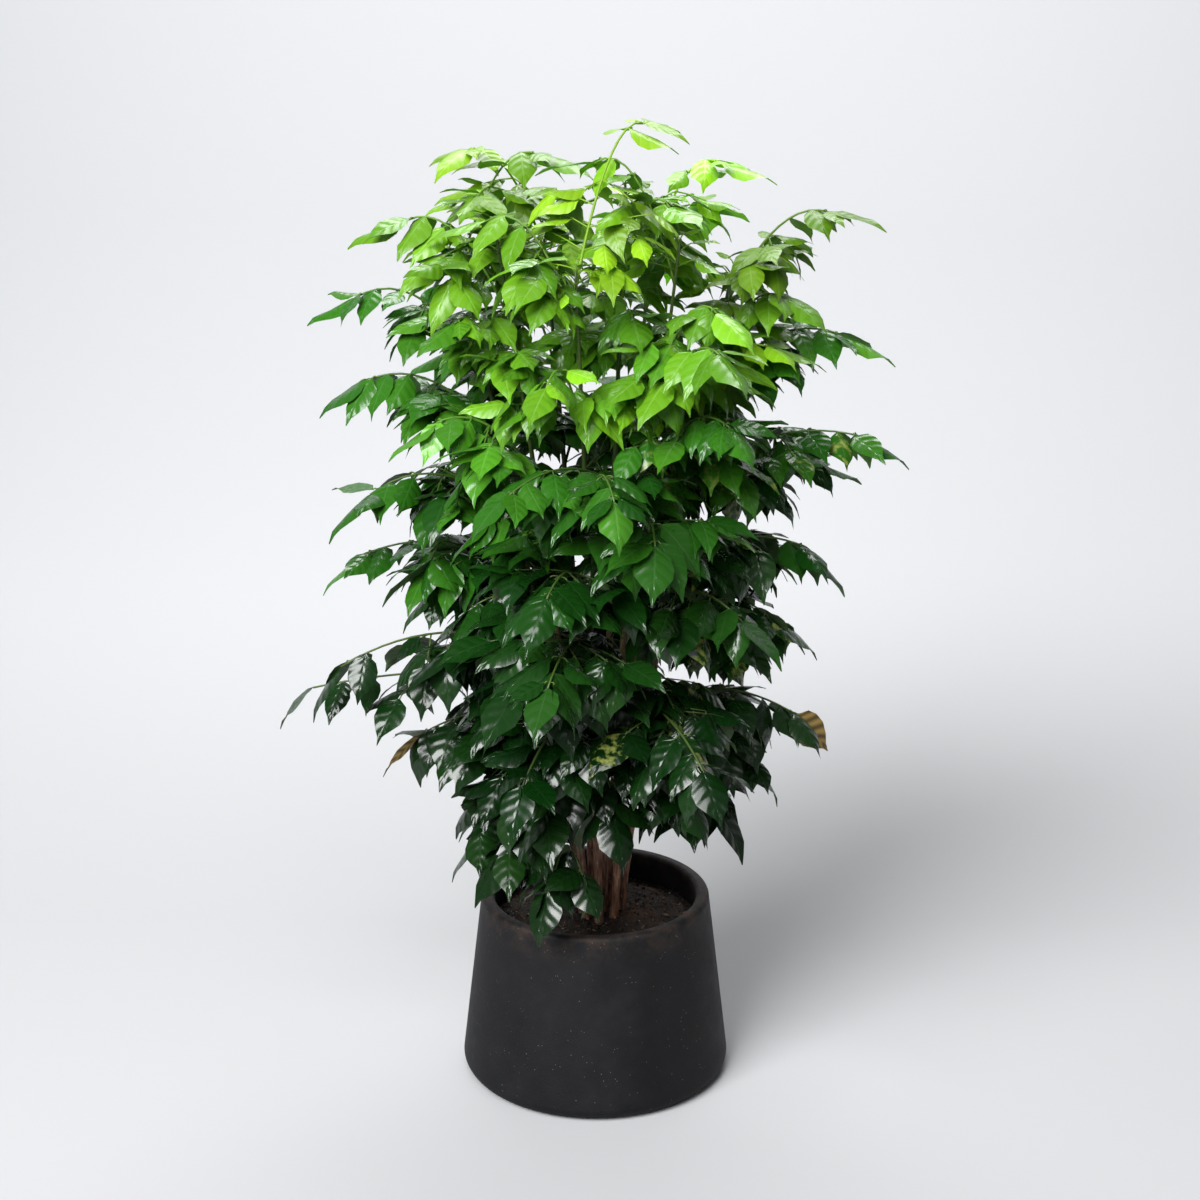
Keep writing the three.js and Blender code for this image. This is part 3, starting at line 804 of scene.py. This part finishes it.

# %% Living-leaf finish
# A young leaflet is thin, pale lime and lets light through. An old one is thick, dark and waxy. Both are
# quilted: the skin domes up between sunken side veins, which breaks each reflection into streaks. The
# underside is paler and dull. Each leaflet stores its tone, its age, its yellow blotches and how far
# it has withered. Age is set by height, so the green runs from lime at the top to near black below.
# That is partly the leaves' real age and partly painted light: brighter where the top is lit, and
# painted shade where the lower crown is shaded.
VEIN_PAIRS = 5
VEIN_RISE = 0.36  # how far up the blade a side vein climbs on its way out, as a share of the length
leaf = finish("waxy living leaf")
growth = add(leaf, "Attribute", attribute_name="growth")
tone, age_and_shade, blotched = add(leaf, "SeparateColor", [growth["Color"]])
withered = growth["Alpha"]
surface = add(leaf, "Attribute", attribute_name="surface")["Fac"]
is_stalk = add(leaf, "MapRange", [surface, 1, 2])[0]
is_under = add(leaf, "MapRange", [surface, 0, 1])[0]
across, along, _ = add(leaf, "SeparateXYZ", [add(leaf, "UVMap", uv_map="blade")[0]])
off_middle = add(leaf, "Math", [across, 0.5], operation="SUBTRACT")[0]
out = add(leaf, "Math", [off_middle], operation="ABSOLUTE")[0]
risen = add(leaf, "Math", [out, -VEIN_RISE, along], operation="MULTIPLY_ADD")[0]
phase = add(leaf, "Math", [risen, VEIN_PAIRS], operation="MULTIPLY")[0]
from_vein = add(leaf, "Math", [phase, 0.5], operation="PINGPONG")[0]
dome = add(leaf, "MapRange", [from_vein, 0, 0.5], interpolation_type="SMOOTHSTEP")[0]
midrib = add(leaf, "MapRange", [out, 0, 0.07])[0]
quilted = add(leaf, "Math", [dome, midrib], operation="MULTIPLY")[0]
leaf_bump = add(leaf, "Bump", {"Height": quilted, "Distance": 0.4 * MM, "Strength": 1})[0]

# Age rises down the crown, so the lime and near-black ends of this ramp are partly real age and partly
# painted light and painted shade.
green = add(leaf, "ValToRGB", [age_and_shade], stops=[
    (0, "#6f9a16"), (0.16, "#7ab21e"), (0.36, "#3f811b"),
    (0.56, "#1a4a10"), (0.8, "#10340c"), (1, "#0c2809"),
])[0]
uneven = add(leaf, "Math", [tone, 2], operation="POWER")[0]
brightness = add(leaf, "MapRange", {0: uneven, 3: 0.64, 4: 1.9})[0]
hue = add(leaf, "MapRange", {0: tone, 3: 0.512, 4: 0.488})[0]
toned = add(leaf, "HueSaturation", {"Color": green, "Value": brightness, "Hue": hue})[0]
vein_line = add(leaf, "MapRange", [from_vein, 0.02, 0.1, 0.16, 0])[0]
rib_line = add(leaf, "MapRange", [out, 0.01, 0.04, 0.4, 0])[0]
lines = add(leaf, "Math", [vein_line, rib_line], operation="MAXIMUM")[0]
paler = add(leaf, "HueSaturation", {"Color": toned, "Value": 1.6, "Saturation": 0.8})[0]
spot = add(leaf, "TexCoord")["Object"]
patches = add(leaf, "TexNoise", {"Vector": spot, "Scale": 1 / (9 * MM), "Detail": 3})[0]
patch = add(leaf, "MapRange", [patches, 0.5, 0.66])[0]
gold = add(leaf, "Math", [patch, blotched], operation="MULTIPLY")[0]
husk = add(leaf, "Mix", {0: dome, 6: linear("#54431f"), 7: linear("#9c8448")}, data_type="RGBA")[2]
dry = add(leaf, "HueSaturation", {"Color": husk, "Value": brightness})[0]
skin = toned
for share, coat in [(lines, paler), (gold, linear("#a9b45a")), (withered, dry)]:
    skin = add(leaf, "Mix", {0: share, 6: skin, 7: coat}, data_type="RGBA")[2]
upper = skin
for where, share, tint in [(is_under, 0.3, "#86a86f"), (is_stalk, 0.4, "#6c8438")]:
    paled = add(leaf, "Mix", {0: share, 6: upper, 7: linear(tint)}, data_type="RGBA")[2]
    skin = add(leaf, "Mix", {0: where, 6: skin, 7: paled}, data_type="RGBA")[2]

worn_wax = add(leaf, "MapRange", [patches, 0.3, 0.7, 0.17, 0.28])[0]
tender = add(leaf, "MapRange", [age_and_shade, 0, 0.5, 0.14, 0])[0]
waxiness = add(leaf, "Math", [worn_wax, tender], operation="ADD")[0]
dry_rough = add(leaf, "Math", [withered, 0.35, waxiness], operation="MULTIPLY_ADD")[0]
leaf_rough = add(leaf, "Math", [is_under, 0.26, dry_rough], operation="MULTIPLY_ADD")[0]
solid = add(leaf, "BsdfPrincipled", {
    "Base Color": skin, "Roughness": leaf_rough, "Normal": leaf_bump, "IOR": 1.56,
})[0]
lit = add(leaf, "HueSaturation", {"Color": skin, "Value": 1.45, "Hue": 0.49})[0]
through = add(leaf, "BsdfTranslucent", {"Color": lit})[0]
thin = add(leaf, "MapRange", {0: age_and_shade, 3: 0.4, 4: 0.22})[0]
living = add(leaf, "MixShader", [thin, solid, through])[0]
add(leaf, "OutputMaterial", {"Surface": living})

# %% [markdown]
# ## Fronds
#
# What looks like a twig of leaves is one leaf, or frond. Its stalk arches out of the stem and carries
# opposite side stalks, and each of those carries a few pairs of leaflets and one at its end. The
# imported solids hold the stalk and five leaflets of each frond. Those are placed first, each where its
# solid is, which is found among the solid's own corners. The rest are then added wherever their midribs
# keep clear of every other leaflet, stalk and stem.

# %% Directions along a stalk
OTHER_BENDS = (0, 16, -16, -28)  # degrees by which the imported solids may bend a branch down


def frame_at(along, roll=0):
    """The directions at a point of a stalk: along it, out to its right, and up out of its top."""
    right = along.cross(UP).normalized()
    right.rotate(Matrix.Rotation(roll, 3, along))
    return along, right, right.cross(along)


def turned(directions, angle):
    """The way that a branch at an angle to the right leaves a stalk."""
    along, right, _ = directions
    a = radians(angle)
    return along * cos(a) + right * sin(a)


def hang(way, dip, tilt=0):
    """The directions of a branch that heads one way, but is dipped below level by its own weight."""
    level = Vector((way.x, way.y, 0)).normalized()
    a = radians(dip)
    return frame_at(level * cos(a) - UP * sin(a), radians(tilt))


# %% Branches of a frond
# Tips whose last leaflet has dried: its turn in degrees, its width against a fresh one's, its tone.
DRIED = {
    (278, 0, 396): {"turn": 66, "width": 0.95, "tone": 0.6},
    (-246, 10, 368): {"turn": -24, "width": 0.36, "tone": 0.1},
}
# The share of its leaflets that each of these has lost.
BARE = {(-372, -10, 434): 0.7, (-332, -70, 478): 0.4, (-66, -186, 238): 0.7, (-132, -128, 262): 0.5}


def stalk_width(s):
    return mix(FROND["width"], FROND["end"], s)


def plan_frond(frond):
    """Adds the frond's own branches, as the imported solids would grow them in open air."""
    curve, draw = frond["curve"], frond["draw"]
    size = mix(0.86, 1.08, draw())
    roll = radians(mix(-15, 15, draw()))
    mean = mix(DROOP["low"], DROOP["high"], frond["h"])
    branches = []
    for pair in PAIRS:
        s = pair["at"] + min(1, PAIR_FOOT / curve.length) / 2
        stalk = frame_at(curve.along(s), roll)
        for side in (-1, 1):
            branches.append({
                "foot": curve.at(s) + stalk[1] * side * stalk_width(pair["at"]) / 2,
                "way": turned(stalk, side * (pair["angle"] + mix(-6, 6, draw()))),
                "dip": mean * 0.8 + mix(-0.3, 1, draw()) * DROOP["spread"],
                "tilt": mix(-14, 14, draw()),
                "rib": pair["rib"] * mix(0.85, 1.1, draw()),
                "size": size * pair["size"],
                "curl": mix(0.08, 0.24, draw()),
            })
    branches.append({
        "foot": curve.at(1),
        "way": turned(frame_at(curve.along(1), roll), mix(-6, 6, draw())),
        "dip": mean + mix(-0.5, 0.2, draw()) * DROOP["spread"],
        "tilt": mix(-14, 14, draw()),
        "rib": 0,
        "size": size * 1.06,
        "curl": mix(0.08, 0.24, draw()),
    })
    return frond | {"size": size, "roll": roll, "branches": branches}


def leaflet(branch, more=0):
    """The leaflet at the end of a branch that hangs some more degrees lower."""
    directions = hang(branch["way"], branch["dip"] + more, branch["tilt"])
    foot = branch["foot"] + directions[0] * branch["rib"]
    return {"root": branch["foot"], "foot": foot, "directions": directions, "size": branch["size"],
            "curl": branch["curl"]}


def on_midrib(made, t):
    """A point of a leaflet's midrib, at a share of its length."""
    along, _, up = made["directions"]
    length = LEAFLET["length"] * made["size"]
    return made["foot"] + (along - up * made["curl"] * t) * length * t


plans = [plan_frond(frond) for frond in fronds]
for plan in plans:
    tip = tuple(map(round, plan["tip"]))
    plan["dried"], plan["bare"] = DRIED.get(tip), BARE.get(tip, 0)
buried = [plan for plan in plans if plan["buried"]]
apart = [plan for plan in plans if not plan["buried"]]
for plan in buried:
    plan["node"] = f"shoot_{STEMS.index(plan['stem']) + 1}"
for number, plan in enumerate(apart, 1):
    plan["node"] = f"frond_{number:02d}"

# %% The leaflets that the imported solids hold
def corners_of(node):
    """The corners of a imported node, in millimetres, ready to be searched."""
    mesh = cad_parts[node].data
    tree = KDTree(len(mesh.vertices))
    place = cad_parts[node].matrix_world
    for i, vert in enumerate(mesh.vertices):
        tree.insert(place @ vert.co / MM, i)
    tree.balance()
    return tree


corners = {node: corners_of(node) for node in {plan["node"] for plan in plans}}
for plan in plans:
    plan["leaflets"], plan["missed"] = [], []
    for branch in plan["branches"]:
        trials = (leaflet(branch, more) for more in OTHER_BENDS)
        held = [t for t in trials if corners[plan["node"]].find(on_midrib(t, 1))[2] < 1][:1]
        plan["leaflets"] += held
        plan["missed"] += [] if held else [branch]
held, grown = (sum(len(plan[key]) for plan in plans) for key in ("leaflets", "branches"))
print("leaflets held by the packed solids:", held, "of", grown)

# %% Room for more leaflets
# How far a new leaflet's midrib keeps from each, in mm.
ROOM = {"leaf": 11, "stalk": 4, "stem": 8, "soil": 16, "lip": 6}
RIM_ROOM = (108, 162)  # how far out the pot's rim is in the way
CELL = 10
taken = {}  # the points that stand in each cell of 10 mm, each with what it belongs to


def cell_of(point):
    return tuple(floor(c / CELL) for c in point)


def stand(points, kind):
    for point in points:
        taken.setdefault(cell_of(point), []).append((point, kind))


def has_room(points):
    """Whether points keep their distance from all that stands, and stay out of the pot."""
    for point in points:
        out = point.xy.length
        over_rim = RIM_ROOM[0] < out < RIM_ROOM[1] and point.z < POT["height"] + ROOM["lip"]
        if over_rim or point.z < SOIL["top"] + ROOM["soil"]:
            return False
        for cell in itertools.product(*(range(c - 1, c + 2) for c in cell_of(point))):
            if any((point - other).length < ROOM[kind] for other, kind in taken.get(cell, ())):
                return False
    return True


def midrib_of(made):
    return [on_midrib(made, t) for t in (0.3, 0.55, 0.8)]


for stem in STEMS:
    stand([stem_at(stem, z) for z in range(round(STEM_FOOT), stem["top"], 5)], "stem")
for plan in plans:
    stand([plan["curve"].at(i / 50) for i in range(51)], "stalk")
    for made in plan["leaflets"]:
        stand(midrib_of(made), "leaf")

# %% More leaflets on each frond
BENDS = (0, 14, -12, 28, -24)  # degrees that a leaflet may hang lower or higher to find room
SIDE_LEAFLETS = ((0.34, 0.82), (0.66, 0.9), (0.92, 0.94))  # where they leave a side stalk, and size
LONG = 20  # a side stalk longer than this, in mm, carries leaflets of its own
SIDE_PAIRS = table(
    # opposite pairs in the order they grow. The last value is how far from the stem they have to be
    "at angle rib size room",
    (0.95, 48, 5, 0.9, 0), (0.71, 62, 9, 0.95, 0), (0.42, 60, 58, 0.98, 30),
    (0.3, 58, 70, 0.96, 36), (0.18, 56, 62, 0.94, 28), (0.07, 66, 40, 0.9, 12),
)
YOUNG = {"size": 0.8, "missing": 0.2, "width": 0.82}  # leaflets at the crown's top
SHED = {"below": 0.14, "missing": 0.5}  # the lowest fronds have lost some of theirs


def try_leaflet(plan, root, way, rib, size, draw):
    """Grows a leaflet at the end of its own stalk, hung however it fits. Returns it, or None."""
    youth = max(0, plan["h"] * 2 - 1)
    size *= mix(1, YOUNG["size"], youth) * mix(0.8, 1.12, draw())
    shed = SHED["missing"] * max(0, 1 - plan["h"] / SHED["below"])
    sparse = draw() < max(YOUNG["missing"] * youth, shed, plan["bare"])
    dip = mix(DROOP["low"], DROOP["high"], plan["h"]) * 0.75 + mix(-24, 30, draw())
    tilt, curl = mix(-26, 26, draw()), mix(0.04, 0.4, draw())
    stalk_dip = 6 - degrees(asin(max(-1, min(1, way.z)))) * 0.6
    foot = root + hang(way, stalk_dip)[0] * rib
    for more in BENDS:
        trial = {"root": root, "foot": foot, "directions": hang(way, dip + more, tilt), "size": size,
                 "curl": curl}
        if not sparse and has_room(midrib_of(trial)):
            plan["leaflets"].append(trial)
            stand(midrib_of(trial), "leaf")
            return trial
    return None


def add_pair(plan, pair, draw):
    """An opposite pair of side stalks, each with a leaflet at its end. Returns those that grew."""
    curve = plan["curve"]
    stalk = frame_at(curve.along(pair["at"]), plan["roll"])
    grown = []
    for side in (-1, 1):
        root = curve.at(pair["at"]) + stalk[1] * side * stalk_width(pair["at"]) / 2
        way = turned(stalk, side * (pair["angle"] + mix(-7, 7, draw())))
        rib = pair["rib"] * mix(0.85, 1.12, draw())
        grown.append(try_leaflet(plan, root, way, rib, plan["size"] * pair["size"], draw))
    return filter(None, grown)


def add_side_leaflets(plan, end, draw):
    """Opposite leaflets along the side stalk that carries a leaflet at its end."""
    rib = frame_at((end["foot"] - end["root"]).normalized())
    for share, size in SIDE_LEAFLETS:
        for side in (-1, 1):
            way = turned(rib, side * mix(54, 70, draw()))
            root = end["root"].lerp(end["foot"], share)
            try_leaflet(plan, root, way, 2, plan["size"] * size, draw)


for plan in plans:
    plan["more"] = draws(plan["number"] + SEEDS["more"])
    for branch in plan["missed"]:
        try_leaflet(plan, branch["foot"], branch["way"], branch["rib"], branch["size"], plan["more"])
for plan in plans:
    for end in [made for made in plan["leaflets"] if (made["foot"] - made["root"]).length > LONG]:
        add_side_leaflets(plan, end, plan["more"])
for pair in SIDE_PAIRS:
    for plan in plans:
        if plan["curve"].length * pair["at"] > pair["room"]:
            for end in add_pair(plan, pair, plan["more"]):
                if pair["rib"] > LONG:
                    add_side_leaflets(plan, end, plan["more"])
print("leaflets in all:", sum(len(plan["leaflets"]) for plan in plans))

# %% Building a frond
# Where some leaflets have yellow blotches, what share of them, and how strong the yellow is.
GOLD = {"x": 100, "low": 380, "high": 830, "share": 0.14, "strength": 0.6}
# A frond's age goes down with its height and strays a little, and a few are fresher than the rest.
# As age darkens the green, its rise towards the bottom is partly real age and partly painted shade.
AGE_AND_SHADE = {"lowest": 1.12, "stray": 0.1, "fresher": 0.22, "few": 0.1, "leaflets": 0.06}
STALK_FOOT = {"sunk": 3, "tapers": 14, "swell": 0.45, "length": 7}  # where it runs into its stem

stalk_bar = bar_template(6, 14)
rib_bar = bar_template(5, 3)


def add_blade(bm, made, look, draw, slim=1):
    along, right, up = made["directions"]
    curl = min(range(len(CURLS)), key=lambda i: abs(CURLS[i] - made["curl"]))
    form = BLADES[curl][int(draw() * len(FOLDS)) % len(FOLDS)]
    length = LEAFLET["length"] * made["size"]
    width = LEAFLET["width"] * made["size"] * slim
    axes = Matrix((right * width, along * length, up * length)).transposed()
    copy = form.copy()
    copy.transform(Matrix.Scale(MM, 4) @ Matrix.Translation(made["foot"]) @ axes.to_4x4())
    join(bm, copy, look)


def add_rib(bm, made, look):
    """The side stalk from the main stalk to a leaflet's foot, slightly arched."""
    root, foot, (_, right, up) = made["root"], made["foot"], made["directions"]
    if (foot - root).length < 1:
        return

    def place(s):
        return root.lerp(foot, s) + up * 1.6 * sin(pi * s)

    join(bm, bend_bar(rib_bar, place, lambda s: (right, up), lambda s: mix(1.0, 0.75, s)), look)


def add_frond(bm, plan):
    curve, draw = plan["curve"], draws(plan["number"] + SEEDS["looks"])
    # Darker down the crown: partly the frond's real age, partly painted shade.
    mean_age_and_shade = AGE_AND_SHADE["lowest"] * (1 - plan["h"]) + mix(-AGE_AND_SHADE["stray"], AGE_AND_SHADE["stray"], draw())
    mean_age_and_shade -= AGE_AND_SHADE["fresher"] if draw() < AGE_AND_SHADE["few"] else 0
    frond_tone = draw()
    inward = (curve.at(0) - curve.at(1)) * Vector((1, 1, 0))
    inward = inward.normalized() * (0 if plan["buried"] else STALK_FOOT["sunk"])

    def place(s):
        return curve.at(s) + inward * max(0, 1 - STALK_FOOT["tapers"] * s)

    def radius(s):
        swell = STALK_FOOT["swell"] * exp(-s * curve.length / STALK_FOOT["length"])
        return stalk_width(s) / 2 * (1 + swell)

    look = (frond_tone, min(1, max(0, mean_age_and_shade)), 0, 0)
    bar = bend_bar(stalk_bar, place, lambda s: frame_at(curve.along(s), plan["roll"])[1:], radius)
    join(bm, bar, look)
    for made in plan["leaflets"]:
        age_and_shade = min(1, max(0, mean_age_and_shade + mix(-AGE_AND_SHADE["leaflets"], AGE_AND_SHADE["leaflets"], draw())))
        tone = min(1, max(0, frond_tone * 0.5 + 0.5 * draw()))
        gilded = plan["tip"].x > GOLD["x"] and GOLD["low"] < plan["tip"].z < GOLD["high"]
        blotched = GOLD["strength"] if gilded and draw() < GOLD["share"] else 0
        slim = mix(1, YOUNG["width"], plan["h"]) * mix(0.9, 1.06, draw())
        dried = plan["dried"] if (made["foot"] - curve.at(1)).length < 1 else None
        if dried:
            made = made | {"directions": frame_at(made["directions"][0], radians(dried["turn"]))}
            slim, tone = dried["width"], dried["tone"]
        add_rib(bm, made, look)
        add_blade(bm, made, (tone, age_and_shade, blotched, 1 if dried else 0), draw, slim)


# %% [markdown]
# ## Shoot tips
#
# Above the last frond, each shoot ends in a tuft of leaflets that have just opened. The youngest
# stand up and are small and yellow-green, and each older one hangs lower and is larger.

# %% Tufts
TUFT = 10
GOLDEN_TURN = 137.5  # degrees from one leaflet of a tuft to the next


def add_tuft(bm, stem, draw):
    for i in range(TUFT):
        root = stem_at(stem, stem["top"] - 2 - 3.5 * i)
        way = heading(GOLDEN_TURN * i + 360 * draw())
        t = i / TUFT
        foot = root + hang(way, mix(-58, -12, t))[0] * mix(9, 34, t)
        directions = hang(way, mix(-30, 26, t), mix(-20, 20, draw()))
        made = {"root": root, "foot": foot, "directions": directions,
                "size": mix(0.34, 0.72, t), "curl": mix(0.1, 0.36, draw())}
        look = (draw(), 0.02 + 0.12 * i / TUFT, 0, 0)
        add_rib(bm, made, look)
        add_blade(bm, made, look, draw)


# %% Separate fronds
for plan in apart:
    bm = bmesh.new()
    add_frond(bm, plan)
    piece = into_object(bm, f"leafy_{plan['node']}", leaf)
    stands_for(piece, plan["node"])
print("separate fronds:", len(apart))

# %% Green shoots
SHOOT_LOOK = (0.3, 0.85, 0, 0)  # its tone, its age, and no blotches or dry parts
shoot_bar = bar_template(10, 30)
for number, stem in enumerate(STEMS, 1):
    bm = bmesh.new()

    def radius(s, z, stem=stem):
        return stem_radius(stem, z) * mix(1, 0.7, s)

    join(bm, bend_stem(shoot_bar, stem, stem["green"], stem["top"], radius), SHOOT_LOOK)
    add_tuft(bm, stem, draws(number + SEEDS["tufts"]))
    for plan in buried:
        if plan["stem"] is stem:
            add_frond(bm, plan)
    stands_for(into_object(bm, f"leafy_shoot_{number}", leaf), f"shoot_{number}")
print("green shoots:", len(STEMS))
